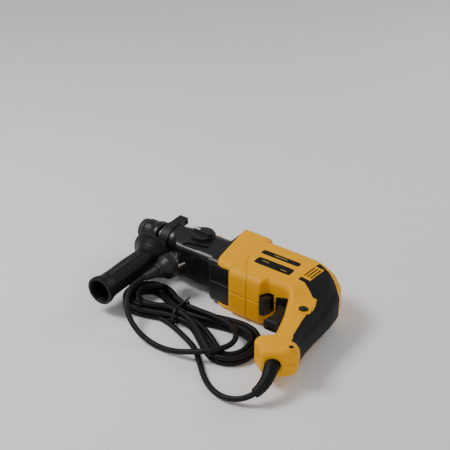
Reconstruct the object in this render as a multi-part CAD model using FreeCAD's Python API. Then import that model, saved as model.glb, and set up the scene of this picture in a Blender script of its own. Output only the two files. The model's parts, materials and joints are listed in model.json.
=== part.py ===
import FreeCAD, Part
import math
import os

# Corded rotary demolition hammer, lying on its right side. Millimetres.
# Working frame while modelling: the spindle axis is the X axis, x = 0 is the tool mouth, +X runs to the
# rear, +Y is the tool's own upward direction and +Z its left side, which faces up as it lies.
# The whole model is shifted at the end, so that the origin is under the middle of the tool on the floor.

V = FreeCAD.Vector
X_AXIS, Y_AXIS, Z_AXIS = V(1, 0, 0), V(0, 1, 0), V(0, 0, 1)

# ---- driving dimensions -------------------------------------------------------------------------
MOTOR_HALF = 38.0            # half width of the motor casing
COLLAR_HALF = 40.0           # half width of the raised front collar
GRIP_HALF = 19.0             # half width of the pistol grip
BASE_HALF = 22.0             # half width of the flared grip base
WALL = 3.0                   # casing wall
SKIN = 1.6                   # thickness of the moulded-on rubber
COLLAR_TOP, MOTOR_TOP, CASING_BOTTOM = 44.0, 38.0, -62.0
COLLAR_FRONT, COLLAR_REAR = 166.0, 208.0
FLOOR = -COLLAR_HALF         # the surface that the tool lies on

SHANK_R = 5.0                # tool shank bore
BALL_X = 23.0                # locking balls
NECK_R = 21.5                # 43 mm clamping neck
NECK_FRONT, NECK_REAR = 47.0, 66.0
GEAR_HALF = 31.0             # half width of the gear housing
GEAR_TOP, GEAR_BOTTOM = 30.0, -44.0
FLANGE_FRONT = 165.0
PLATE_FRONT, PLATE_REAR = 184.0, 195.0   # bearing plate between gears and motor

MODULE = 1.0
PINION_TEETH, IDLER_TEETH = 10, 24       # armature pinion and intermediate gear
DRIVE_TEETH, BULL_TEETH = 16, 44         # intermediate pinion and spindle gear
IDLER_Y = -MODULE * (DRIVE_TEETH + BULL_TEETH) / 2
MOTOR_Y = IDLER_Y + MODULE * (PINION_TEETH + IDLER_TEETH) / 2
BACKLASH = 0.25
PINION_TURN = 18.0           # sets the teeth in mesh with the intermediate gear

TUBE_BORE_R = 12.5           # hammer tube
RUNNING = 0.08               # radial clearance of running fits
WOBBLE_X = 166.0             # centre of the wobble drum and of the piston pin
DRUM_R = 7.8
PIN_HOLE_R, FINGER_R = 2.4, 2.2

SIDE_X = 56.5                # middle of the side handle's clamp
FLANGE_Y, SIDE_END_Y = -46.0, -168.0
FLANGE_R, SIDE_GRIP_R, SIDE_END_R = 34.0, 17.5, 21.5
DEPTH_ROD, DEPTH_ROD_R = (26.5, 20.3), 3.2     # (y, z) of the depth rod hole in the clamp

GRIP_AXIS = V(0.35, -0.937, 0)           # the grip points down and back
TRIGGER_AXIS = V(0.937, 0.35, 0)         # the trigger travels into the grip
EXIT = V(345, -159, 0)                   # where the cord leaves the grip
EXIT_AXIS = V(0.476, -0.88, 0)

CORD_R = 4.0
HANK_TOP, HANK_LOW_TOP = -12.0, -23.5    # the hank's end under the side handle is lower
HANK_STEP_X = 82.0
TIE = 1.4                                # thickness of the cord tie
PLUG_AT, PLUG_AXIS = V(103, -80.5, 9), V(0.24, 0.97, 0)
PLUG_R, PIN_R, PIN_LENGTH, PIN_SPACING = 18.5, 2.4, 19.0, 19.0

# Route of the free cord: from the grip to the hank, and from the hank to the plug.
LEAD_OUT = [(329.8, -130.8, 0), (336.4, -143.2, 0.5), (343.6, -156.4, 0), (349.5, -172, -2.5),
            (352, -187, -11), (346, -203, -22), (330, -215, -30.5), (308, -219, -35), (284, -213, -36),
            (262, -199, -36), (244, -182, -36), (227, -166.5, -35.5), (210, -153, -34.8)]
TAIL = [(94.85, -113.5, 9), (90.4, -131, 7), (92.5, -149, 1), (102, -164.5, -8), (117, -175, -18.5),
        (135, -180.5, -28), (156, -182.5, -34.5), (180, -183, -36), (204, -181, -32), (226, -176.5, -25),
        (246, -167.5, -20)]


# ---- construction helpers -----------------------------------------------------------------------
def vec(p):
    return p if isinstance(p, FreeCAD.Vector) else V(*p)


def box(x0, x1, y0, y1, z0, z1):
    return Part.makeBox(x1 - x0, y1 - y0, z1 - z0, V(x0, y0, z0))


def rod(start, end, r, r_end=None):
    """Cylinder or cone between two points."""
    a, b = vec(start), vec(end)
    length = (b - a).Length
    if r_end is None or abs(r_end - r) < 1e-6:
        return Part.makeCylinder(r, length, a, b - a)
    return Part.makeCone(r, r_end, length, a, b - a)


def ring_x(x0, x1, outer, inner, y=0.0, z=0.0):
    return rod((x0, y, z), (x1, y, z), outer).cut(rod((x0 - 1, y, z), (x1 + 1, y, z), inner))


def turned(profile, y=0.0):
    """Solid of revolution about an axis parallel to X, from (x, r) points of a closed profile."""
    wire = Part.makePolygon([V(x, y + r, 0) for x, r in profile + profile[:1]])
    return Part.Face(wire).revolve(V(0, y, 0), X_AXIS, 360)


def outline(corners):
    """Closed wire in the XY plane from (x, y, radius) corners, each rounded by a tangent arc."""
    n = len(corners)
    edges, ends = [], []
    for i in range(n):
        p, q, s = (V(*corners[(i + k) % n][:2], 0) for k in (-1, 0, 1))
        r = corners[i][2]
        to_p, to_s = (p - q).normalize(), (s - q).normalize()
        half = to_p.getAngle(to_s) / 2
        if r <= 0:
            ends.append((q, None, q))
            continue
        back = r / math.tan(half)
        middle = q + (to_p + to_s).normalize() * (r / math.sin(half) - r)
        ends.append((q + to_p * back, middle, q + to_s * back))
    for i in range(n):
        a, m, b = ends[i]
        if m is not None:
            edges.append(Part.Arc(a, m, b).toShape())
        nxt = ends[(i + 1) % n][0]
        if (nxt - b).Length > 1e-4:
            edges.append(Part.LineSegment(b, nxt).toShape())
    return Part.Wire(edges)


def plate(corners, z0, z1, inset=0.0):
    """Slab of a rounded outline between two heights, with the outline pulled in by inset."""
    wire = outline(corners)
    if inset:
        wire = wire.makeOffset2D(-inset)
    face = Part.Face(wire)
    face.translate(V(0, 0, z0))
    return face.extrude(V(0, 0, z1 - z0))


def section_x(x0, x1, bottom, top, half, r_bottom, r_top):
    """Rounded-rectangle bar along X; corners are given for the YZ section."""
    corners = [(-half, bottom, r_bottom), (half, bottom, r_bottom), (half, top, r_top), (-half, top, r_top)]
    face = Part.Face(outline(corners))
    # outline x becomes z, outline y stays y
    face.rotate(V(0, 0, 0), Y_AXIS, -90)
    face.translate(V(x0, 0, 0))
    return face.extrude(V(x1 - x0, 0, 0))


def fuse(shapes):
    whole = shapes[0]
    for s in shapes[1:]:
        whole = whole.fuse(s)
    return whole.removeSplitter()


def gear(teeth, x0, x1, y, bore, turn=0.0, addendum=0.65, dedendum=0.95):
    """Spur gear about an axis parallel to X, with involute flanks. turn is in degrees."""
    pitch = MODULE * teeth / 2
    base = pitch * math.cos(math.radians(20))
    tip, root = pitch + addendum * MODULE, pitch - dedendum * MODULE
    inv = lambda a: math.tan(a) - a
    half = math.pi / (2 * teeth) - BACKLASH / (4 * pitch) + inv(math.radians(20))
    low = max(base, root)
    flank = []
    steps = 4
    for k in range(steps + 1):
        rho = low + (tip - low) * k / steps
        flank.append((rho, half - inv(math.acos(min(1.0, base / rho)))))
    if root < base:
        flank.insert(0, (root, half))
    points = []
    for t in range(teeth):
        middle = 2 * math.pi * t / teeth + math.radians(turn)
        for rho, a in flank:
            points.append((rho, middle - a))
        for rho, a in reversed(flank):
            points.append((rho, middle + a))
    ring = [V(x0, y + rho * math.cos(a), rho * math.sin(a)) for rho, a in points]
    body = Part.Face(Part.makePolygon(ring + ring[:1])).extrude(V(x1 - x0, 0, 0))
    return body.cut(rod((x0 - 1, y, 0), (x1 + 1, y, 0), bore)) if bore else body


def flex_tube(points, r):
    """Round tube along straight runs joined by tangent arcs as large as the runs allow."""
    pts = [vec(p) for p in points]
    edges, at, radii = [], pts[0], []
    for i in range(1, len(pts) - 1):
        p, q, s = pts[i - 1], pts[i], pts[i + 1]
        to_p, to_s = (p - q), (s - q)
        shorter = min(to_p.Length, to_s.Length)
        to_p.normalize(), to_s.normalize()
        half = to_p.getAngle(to_s) / 2
        back = 0.45 * shorter
        radius = back * math.tan(half)
        radii.append(radius)
        start, end = q + to_p * back, q + to_s * back
        middle = q + (to_p + to_s).normalize() * (radius / math.sin(half) - radius)
        edges += [Part.LineSegment(at, start).toShape(), Part.Arc(start, middle, end).toShape()]
        at = end
    edges.append(Part.LineSegment(at, pts[-1]).toShape())
    path = Part.Wire(edges)
    circle = Part.Wire([Part.makeCircle(r, pts[0], pts[1] - pts[0])])
    tube = path.makePipeShell([circle], True, True)
    share = tube.Volume / (math.pi * r * r * path.Length)
    print("tube length %.0f, volume share %.3f, radii" % (path.Length, share), [round(x) for x in radii])
    return tube


# ---- casing -------------------------------------------------------------------------------------
# Side outline of the motor casing: top, rounded tail that runs into the grip, bottom box.
CASING_SIDE = [(172, MOTOR_TOP, 0), (303, MOTOR_TOP, 30), (344, 17, 40), (357, -40, 60), (360, -72, 12),
               (300, -72, 6), (296, -47, 6), (266, -49, 6), (258, CASING_BOTTOM, 5), (209, CASING_BOTTOM, 5),
               (206, -52, 3), (172, -52, 0)]
COLLAR_SIDE = [(COLLAR_FRONT, COLLAR_TOP, 3), (COLLAR_REAR, COLLAR_TOP, 4), (216, 24, 8), (213, -56, 4),
               (186, -57, 9), (173, -44, 7), (174.5, -26, 9), (168, -4, 30)]
GRIP_SIDE = [(270, -20, 4), (268, -52, 4), (294, -52, 5), (303, -68, 20), (315, -100, 30), (323, -128, 24),
             (309, -143, 9), (311, -158, 9), (333, -169, 4), (361, -154, 4), (373, -141, 8), (364, -126, 20),
             (360, -95, 60), (357, -40, 40), (340, -20, 10)]
# The rubber covers the tail, the back of the grip and a tongue beside the vents.
RUBBER = [(298, 26, 3), (304, 15, 0), (314, 14.5, 2), (315, -20.5, 2), (297, -20.5, 1), (297, -26.5, 1),
          (308, -27, 8), (324, -36, 20), (328, -40, 0), (331, -37, 1), (336, -38.5, 2), (342, -60, 2),
          (337, -65, 2), (340, -82, 40), (347, -117, 20), (362, -131, 3), (380, -120, 0), (380, 20, 0),
          (344, 17, 0), (303, 60, 0)]


def casing(inset):
    """Outer form of both casing halves together, pulled in by inset."""
    side = plate(CASING_SIDE, -MOTOR_HALF + inset, MOTOR_HALF - inset, inset)
    across = section_x(160, 400, CASING_BOTTOM + inset, MOTOR_TOP - inset, MOTOR_HALF - inset,
                       12 - inset, 18 - inset)
    # The tail narrows behind the motor, seen from above.
    half = MOTOR_HALF - inset
    tail = [(160, -half, 0), (322, -half, 30), (352 - inset, -22 + inset, 14), (352 - inset, 22 - inset, 14),
            (322, half, 30), (160, half, 0)]
    from_above = Part.Face(outline(tail))
    from_above.rotate(V(0, 0, 0), X_AXIS, 90)
    from_above.translate(V(0, 100, 0))
    body = side.common(across).common(from_above.extrude(V(0, -200, 0)))
    collar = plate(COLLAR_SIDE, -COLLAR_HALF + inset, COLLAR_HALF - inset, inset)
    round_collar = section_x(150, 230, -57 + inset, COLLAR_TOP - inset, COLLAR_HALF - inset,
                             14 - inset, 20 - inset)
    collar = collar.common(round_collar)
    grip = plate(GRIP_SIDE, -GRIP_HALF + inset, GRIP_HALF - inset, inset)
    base_corners = [(309, -143, 9), (311, -158, 9), (333, -169, 4), (361, -154, 4), (373, -141, 8),
                    (350, -131, 10), (326, -133, 8)]
    base = plate(base_corners, -BASE_HALF + inset, BASE_HALF - inset, inset)
    return fuse([body, collar, grip, base])


def grip_prism(x0, x1, y0, y1, half, at, axis_y):
    """Box in a frame whose -Y runs along axis_y, placed at a point of the grip."""
    shape = box(x0, x1, y0, y1, -half, half)
    shape.rotate(V(0, 0, 0), Z_AXIS, math.degrees(math.atan2(axis_y.x, -axis_y.y)))
    shape.translate(vec(at))
    return shape


def casing_parts():
    outer, under_skin, inner = casing(0.0), casing(SKIN), casing(WALL)
    # The front of the cavity is open for the gear housing, and the grip's end for the cord.
    mouth = section_x(150, 200, -54, 41, 37, 11, 17)
    notch = box(255, 276, -70, -50.5, -15, 15)
    openings = [
        mouth,
        notch,                                                                  # direction lever
        rod((266, -52, 0), (266, -40, 0), 4.5),                                 # its pivot
        grip_prism(-12, 14, -24.2, 24.2, 9.3, (303, -76, 0), GRIP_AXIS),        # trigger
        rod((329, -65.5, 10), (329, -65.5, 30), 5.4),                           # lock-on button
        rod(EXIT - EXIT_AXIS * 12, EXIT + EXIT_AXIS * 20, 10.2),                # cord boot
    ]
    for k in range(3):
        openings.append(box(293.5 + 5.5 * k, 296 + 5.5 * k, -9, 12, -60, 60))   # cooling slots
    for k in range(4):
        openings.append(box(226 + 9 * k, 231 + 9 * k, 15, 24, -60, 60))         # intake slots
    holes = fuse(openings)
    region = plate(RUBBER, -60, 60)
    lining = outer.common(box(252, 264, -61, -47.5, -18, 18))
    shell = outer.cut(inner).fuse(lining).cut(holes)
    skin = outer.cut(under_skin).common(region).cut(holes)
    shell = shell.cut(outer.cut(under_skin).common(region))
    left, right = box(100, 420, -220, 100, 0, 80), box(100, 420, -220, 100, -80, 0)
    left_shell, right_shell = shell.common(left), shell.common(right)
    # Screws join the halves through bosses; side is +1 where the head sits on the left.
    screws = []
    for x, y, half, side in SCREW_SPOTS:
        head, tip = side * (half - 4), -side * (half - 8)
        pillars = rod((x, y, -half + 1), (x, y, half - 1), 4.2).common(outer)
        bore = rod((x, y, -half + 6), (x, y, half - 6), 1.9)
        sink = rod((x, y, side * (half - 4)), (x, y, side * (half + 8)), 3.6)
        screw = rod((x, y, head), (x, y, head + side * 2.6), 3.4).fuse(rod((x, y, tip), (x, y, head), 1.8))
        screws.append(screw.cut(rod((x, y, head + side * 1.2), (x, y, head + side * 3), 1.5)))
        neck = rod((x, y, 0), (x, y, head), 1.9)
        left_shell = left_shell.fuse(pillars.common(left)).cut(bore).cut(sink).cut(neck)
        right_shell = right_shell.fuse(pillars.common(right)).cut(bore).cut(sink).cut(neck)
        skin = skin.cut(sink)
    return {
        "housing_left": biggest(left_shell),
        "housing_right": biggest(right_shell),
        "overmould_left": solids_over(skin.common(left), 50),
        "overmould_right": solids_over(skin.common(right), 50),
        "housing_screws": Part.makeCompound(screws),
    }


SCREW_SPOTS = [(219, 30, MOTOR_HALF - 4, -1), (290, 30, MOTOR_HALF - 4, -1), (219, -53.5, MOTOR_HALF - 5, -1),
               (316, -41, MOTOR_HALF - 3, -1), (341, -100, GRIP_HALF - 1, -1), (320, -149, BASE_HALF - 1, -1),
               (357, -143, BASE_HALF - 1, 1)]


def biggest(shape):
    return max(shape.Solids, key=lambda s: s.Volume)


def solids_over(shape, volume):
    kept = [s for s in shape.Solids if s.Volume > volume]
    return Part.makeCompound(kept) if len(kept) > 1 else kept[0]


# ---- gear housing -------------------------------------------------------------------------------
def gear_housing():
    neck = rod((NECK_FRONT, 0, 0), (NECK_REAR + 4, 0, 0), NECK_R)
    shoulder = rod((NECK_REAR, 0, 0), (72, 0, 0), 25)
    cone = rod((72, 0, 0), (96, 0, 0), 25, GEAR_TOP)
    barrel = rod((96, 0, 0), (170, 0, 0), GEAR_TOP)
    lower = plate([(76, 0, 0), (76, -20, 6), (100, GEAR_BOTTOM, 8), (170, GEAR_BOTTOM, 0), (170, 0, 0)],
                  -GEAR_HALF, GEAR_HALF)
    lower = lower.common(section_x(60, 180, GEAR_BOTTOM, GEAR_TOP, GEAR_HALF, 11, 10))
    lower = lower.common(rod((70, -5, 0), (102, -5, 0), 24, 62).fuse(box(102, 180, -60, 60, -60, 60)))
    flange = section_x(FLANGE_FRONT, PLATE_FRONT, -53.5, 40.5, 36.5, 10.5, 16.5)
    recess = plate([(103, -42, 2), (110, -31, 3), (143, -23, 2), (149, -36, 2), (112, -42, 2)], GEAR_HALF - 2, 50)
    knob_seat = rod((KNOB_X, KNOB_Y, 22), (KNOB_X, KNOB_Y, GEAR_HALF + 1.5), 18.5)
    outer = fuse([neck, shoulder, cone, barrel, lower, flange, knob_seat]).cut(recess)
    bearing_seat = rod((70, 0, 0), (84, 0, 0), 19)
    front_bore = rod((40, 0, 0), (71, 0, 0), 16.6)
    seal_seat = rod((62, 0, 0), (70, 0, 0), 18.5)
    upper_bay = rod((84, 0, 0), (200, 0, 0), 26.5)
    lower_bay = section_x(104, 200, -41.3, 0, 27, 7, 0.01)
    idler_seat = rod((98, IDLER_Y, 0), (106, IDLER_Y, 0), 7)
    rear_bay = section_x(FLANGE_FRONT + 3, 200, -50, 37, 33, 8, 14)
    ring_room = rod((WOBBLE_X, IDLER_Y, -9), (WOBBLE_X, IDLER_Y, 9), 12.4)      # for the tilting ring
    bore = fuse([bearing_seat, front_bore, seal_seat, upper_bay, lower_bay, idler_seat, rear_bay, ring_room])
    outer = outer.cut(bore).cut(rod((KNOB_X, KNOB_Y, 0), (KNOB_X, KNOB_Y, 60), 7.1))
    # Web that carries the rear bearing of the hammer tube.
    web = section_x(136, 146, -12, 26.8, 27.3, 1, 12).common(rod((130, 0, 0), (150, 0, 0), 26.8))
    web = web.cut(rod((130, 0, 0), (150, 0, 0), 21))
    screw_holes = fuse([rod((150, y, z), (200, y, z), 1.9) for y, z in FLANGE_SCREWS])
    return biggest(outer.fuse(web).cut(screw_holes))


KNOB_X, KNOB_Y = 118.0, -3.0
FLANGE_SCREWS = [(33, 28), (33, -28), (-47, 29), (-47, -29)]


def bearing_plate():
    body = section_x(PLATE_FRONT, PLATE_REAR, -53.5, 40.5, 36.5, 10.5, 16.5)
    rim = section_x(PLATE_FRONT - 5, PLATE_FRONT, -49.8, 36.8, 32.8, 7.8, 13.8)
    body = body.fuse(rim.cut(section_x(170, 190, -46, 33, 29, 5, 10)))
    cuts = [rod((180, MOTOR_Y, 0), (200, MOTOR_Y, 0), 6.6), rod((186, MOTOR_Y, 0), (200, MOTOR_Y, 0), 9),
            rod((180, IDLER_Y, 0), (191, IDLER_Y, 0), 7)]
    cuts += [rod((150, y, z), (200, y, z), 1.9) for y, z in FLANGE_SCREWS]
    return body.cut(fuse(cuts))


def flange_screws():
    screws = [fuse([rod((PLATE_REAR, y, z), (PLATE_REAR + 2.6, y, z), 3.4),
                    rod((160, y, z), (PLATE_REAR, y, z), 1.85)]) for y, z in FLANGE_SCREWS]
    return Part.makeCompound(screws)


# ---- hammer drive -------------------------------------------------------------------------------
def spindle():
    profile = [(3, SHANK_R), (3, 9.5), (4.5, 10.5), (11, 10.5), (11, 13), (45.6, 13), (45.6, 15),
               (100, 15), (100, 17), (150, 17), (150, TUBE_BORE_R), (80, TUBE_BORE_R), (76, 7.2),
               (62, 7.2), (62, SHANK_R)]
    body = turned(profile)
    pockets = [rod((BALL_X, s * 5.8, 0), (BALL_X, s * 20, 0), 3.5) for s in (-1, 1)]
    vents = [rod((92, 0, 0), (92, 0, s * 30), 1.8) for s in (-1, 1)]
    return body.cut(fuse(pockets + vents))


def chuck_parts():
    cap = turned([(0, 5.6), (0, 13.5), (1.2, 15.2), (4, 16.4), (10.4, 17.4), (10.8, 10.6), (2.8, 10.6),
                  (2.8, 5.6)])
    sleeve = turned([(11.4, 13.1), (11.4, 17.6), (13, 18.6), (26, 19.0), (33, 21.2), (38, 21.2), (40, 20),
                     (40, 17.2), (27, 17.2), (27, 13.1), (19, 13.1), (19, 15.6), (13.4, 15.6), (13.4, 13.1)])
    balls = Part.makeCompound([Part.makeSphere(3.3, V(BALL_X, s * 9.3, 0)) for s in (-1, 1)])
    keeper = turned([(39.6, 13.05), (39.6, 16.6), (45.4, 16.6), (45.4, 13.05)])
    wire, rise = 1.1, 10.2
    coil_start = V(15.1, 0, 0)
    helix = Part.Wire(Part.makeHelix(rise / 3, rise, 15.1))
    coil = helix.makePipeShell([Part.Wire([Part.makeCircle(wire, coil_start, V(0, 1, 0.036))])], True, True)
    coil.rotate(V(0, 0, 0), Y_AXIS, 90)
    coil.translate(V(28.2, 0, 0))
    return {"dust_cap": cap, "lock_sleeve": sleeve, "locking_balls": balls, "chuck_keeper": keeper,
            "chuck_spring": coil}


def spun_arc(r, half, straight_r):
    """Revolved section about the intermediate shaft, between a spherical face and a cylinder."""
    low, high = V(WOBBLE_X - half, IDLER_Y, 0), V(WOBBLE_X + half, IDLER_Y, 0)
    rise = V(0, math.sqrt(r * r - half * half), 0)
    crown = Part.Arc(low + rise, V(WOBBLE_X, IDLER_Y + r, 0), high + rise).toShape()
    flat = V(0, straight_r, 0)
    sides = [Part.LineSegment(a, b).toShape() for a, b in (
        (high + rise, high + flat), (high + flat, low + flat), (low + flat, low + rise))]
    return Part.Face(Part.Wire([crown] + sides)).revolve(V(0, IDLER_Y, 0), X_AXIS, 360)


def drive_parts():
    y = IDLER_Y
    idler = fuse([rod((99, y, 0), (190.5, y, 0), 3.5), rod((107, y, 0), (176.5, y, 0), 4.6),
                  gear(DRIVE_TEETH, 115, 130, y, 0, turn=180.0 / DRIVE_TEETH)])
    drum = spun_arc(DRUM_R, 5.8, 4.6)
    race = spun_arc(DRUM_R + 0.3, 5, DRUM_R + 3.1)
    finger = rod((WOBBLE_X, y + DRUM_R + 1.5, 0), (WOBBLE_X, -12, 0), 3.0).fuse(
        rod((WOBBLE_X, -13, 0), (WOBBLE_X, 3.4, 0), FINGER_R))
    piston_r = TUBE_BORE_R - RUNNING
    piston = fuse([rod((126, 0, 0), (152, 0, 0), piston_r), rod((152, 0, 0), (172, 0, 0), 10)])
    piston = piston.cut(box(158, 174, -12, 12, -3.6, 3.6)).cut(box(154, 174, -12, -6, -12, 12))
    piston = piston.cut(rod((WOBBLE_X, 0, -12), (WOBBLE_X, 0, 12), 3.95)).cut(ring_x(129, 132, 20, 11.0))
    pin = rod((WOBBLE_X, 0, -8.4), (WOBBLE_X, 0, 8.4), 3.9)
    pin = pin.cut(rod((WOBBLE_X, -12, 0), (WOBBLE_X, 12, 0), PIN_HOLE_R))
    striker = fuse([rod((100, 0, 0), (114, 0, 0), piston_r), rod((96, 0, 0), (100, 0, 0), 8)])
    striker = striker.cut(ring_x(104, 107, 20, 11.0))
    bolt = fuse([rod((65, 0, 0), (86, 0, 0), 7.2 - RUNNING), rod((82, 0, 0), (86, 0, 0), piston_r),
                 rod((62.6, 0, 0), (65, 0, 0), 4.7)])
    return {
        "intermediate_shaft": idler,
        "wobble_drum": drum,
        "wobble_ring": race.fuse(finger).removeSplitter(),
        "intermediate_gear": gear(IDLER_TEETH, 177, 183, y, 3.5),
        "intermediate_bearings": Part.makeCompound([ring_x(99, 106, 7, 3.5, y), ring_x(184.5, 190.5, 7, 3.5, y)]),
        "spindle_gear": gear(BULL_TEETH, 118, 127, 0, 17.0),
        "piston": biggest(piston),
        "piston_pin": pin,
        "striker": striker,
        "striker_seal": ring_x(104, 107, piston_r, 11.0),
        "piston_seal": ring_x(129, 132, piston_r, 11.0),
        "impact_bolt": bolt,
        "spindle": spindle(),
        "spindle_bearings": Part.makeCompound([ring_x(70, 82, 19, 15.05), ring_x(137, 145, 21, 17.05)]),
        "spindle_seal": ring_x(63, 69, 18.5, 15.3),
    }


# ---- motor --------------------------------------------------------------------------------------
def motor_parts():
    y = MOTOR_Y
    shaft = fuse([rod((184.5, y, 0), (302, y, 0), 4.0),
                  gear(PINION_TEETH, 176.5, 184.6, y, 0, turn=PINION_TURN)])
    core = rod((224, y, 0), (264, y, 0), 20).cut(rod((220, y, 0), (270, y, 0), 4.0))
    for k in range(12):
        slot = box(223, 265, y + 11, y + 21, -1.3, 1.3)
        slot.rotate(V(0, y, 0), X_AXIS, 30 * k)
        core = core.cut(slot)
    windings = fuse([ring_x(214, 224, 16.5, 5, y), ring_x(264, 271, 16.0, 5, y)])
    commutator = ring_x(273, 288, 12.5, 4.0, y)
    for k in range(12):
        gap = box(274, 289, y + 11.6, y + 13, -0.3, 0.3)
        gap.rotate(V(0, y, 0), X_AXIS, 30 * k + 15)
        commutator = commutator.cut(gap)
    fan = fuse([ring_x(199, 201, 30, 4.0, y), ring_x(201, 210, 7, 4.0, y)])
    for k in range(12):
        blade = box(201, 209, y + 12, y + 29, -0.8, 0.8)
        blade.rotate(V(0, y, 0), X_AXIS, 30 * k)
        fan = fan.fuse(blade)
    stator = rod((222, y, 0), (266, y, 0), 34).common(box(200, 280, y - 31, y + 31, -34, 34))
    stator = stator.cut(rod((200, y, 0), (280, y, 0), 20.6))
    for s in (-1, 1):
        stator = stator.cut(box(200, 280, y - 13, y + 13, min(s * 19, s * 27), max(s * 19, s * 27)))
    coils = []
    for s in (-1, 1):
        loop = box(217, 271, y - 12.5, y + 12.5, min(s * 21.2, s * 26.5), max(s * 21.2, s * 26.5))
        coils.append(loop.cut(box(222, 266, y - 6, y + 6, -40, 40)))
    holders, brushes, springs = [], [], []
    for s in (-1, 1):
        z0, z1 = sorted((s * 14.5, s * 31))
        holder = box(275, 286, y - 5.5, y + 5.5, z0, z1).cut(box(276.5, 284.5, y - 4, y + 4, -40, 40))
        holders.append(holder)
        z0, z1 = sorted((s * 12.7, s * 25))
        brushes.append(box(276.7, 284.3, y - 3.8, y + 3.8, z0, z1))
        z0, z1 = sorted((s * 25, s * 31))
        springs.append(rod((280.5, y, z0), (280.5, y, z1), 3.2).cut(rod((280.5, y, -40), (280.5, y, 40), 2.0)))
    rear_seat = ring_x(292, 301, 14, 9.5, y).fuse(
        box(294, 301, y - 34, y + 34, -4, 4).cut(rod((290, y, 0), (305, y, 0), 12)))
    return {
        "armature_shaft": shaft, "armature_core": core, "armature_windings": windings,
        "commutator": commutator, "fan": fan, "stator_core": stator,
        "field_coils": Part.makeCompound(coils), "brush_holders": Part.makeCompound(holders),
        "carbon_brushes": Part.makeCompound(brushes), "brush_springs": Part.makeCompound(springs),
        "armature_bearings": Part.makeCompound([ring_x(186.2, 193, 9, 4.0, y), ring_x(293, 300, 9.5, 4.0, y)]),
        "rear_bearing_seat": rear_seat,
    }


# ---- controls -----------------------------------------------------------------------------------
def control_parts():
    trigger_side = [(283, -55.4, 2), (288, -67, 24), (290.5, -82, 16), (286, -96, 2.5), (294, -99.2, 3),
                    (309, -93.5, 3), (298, -58, 3)]
    trigger = plate(trigger_side, -8.8, 8.8)
    switch = grip_prism(-8, 17, -24, 16, 9.4, (325, -71, 0), GRIP_AXIS)
    plunger = rod(V(301, -76, 0), V(301, -76, 0) + TRIGGER_AXIS * 8.4, 2.6)
    button = rod((329, -65.5, 12.6), (329, -65.5, 22), 5.2)
    lever = fuse([plate([(259, -51.5, 1), (271, -51.5, 1), (273, -57, 2), (268, -67.5, 2.5), (260, -67.5, 2.5)],
                        -13, 13), rod((266, -45, 0), (266, -52, 0), 4.3)])
    knob = rod((KNOB_X, KNOB_Y, GEAR_HALF + 1.8), (KNOB_X, KNOB_Y, GEAR_HALF + 4.2), 17)
    bar = plate([(KNOB_X - 15.5, KNOB_Y - 4.5, 4), (KNOB_X + 15.5, KNOB_Y - 4.5, 4),
                 (KNOB_X + 15.5, KNOB_Y + 4.5, 4), (KNOB_X - 15.5, KNOB_Y + 4.5, 4)],
                GEAR_HALF + 4, GEAR_HALF + 8.6)
    stem = rod((KNOB_X, KNOB_Y, 27.8), (KNOB_X, KNOB_Y, GEAR_HALF + 2), 7.0)
    capacitor = grip_prism(-7, 7, -14, 4, 7, (349, -119, 0), GRIP_AXIS)
    clamp_at = EXIT - EXIT_AXIS * 24
    cord_clamp = grip_prism(-11, 11, -4, 4, 6.5, clamp_at, EXIT_AXIS).cut(rod(EXIT - EXIT_AXIS * 40, EXIT, 4.0))
    return {
        "trigger": trigger.cut(plunger), "trigger_plunger": plunger, "switch_body": switch, "lock_on_button": button,
        "direction_lever": lever, "mode_knob": fuse([knob, bar, stem]), "suppressor": capacitor,
        "cord_clamp": cord_clamp,
    }


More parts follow.
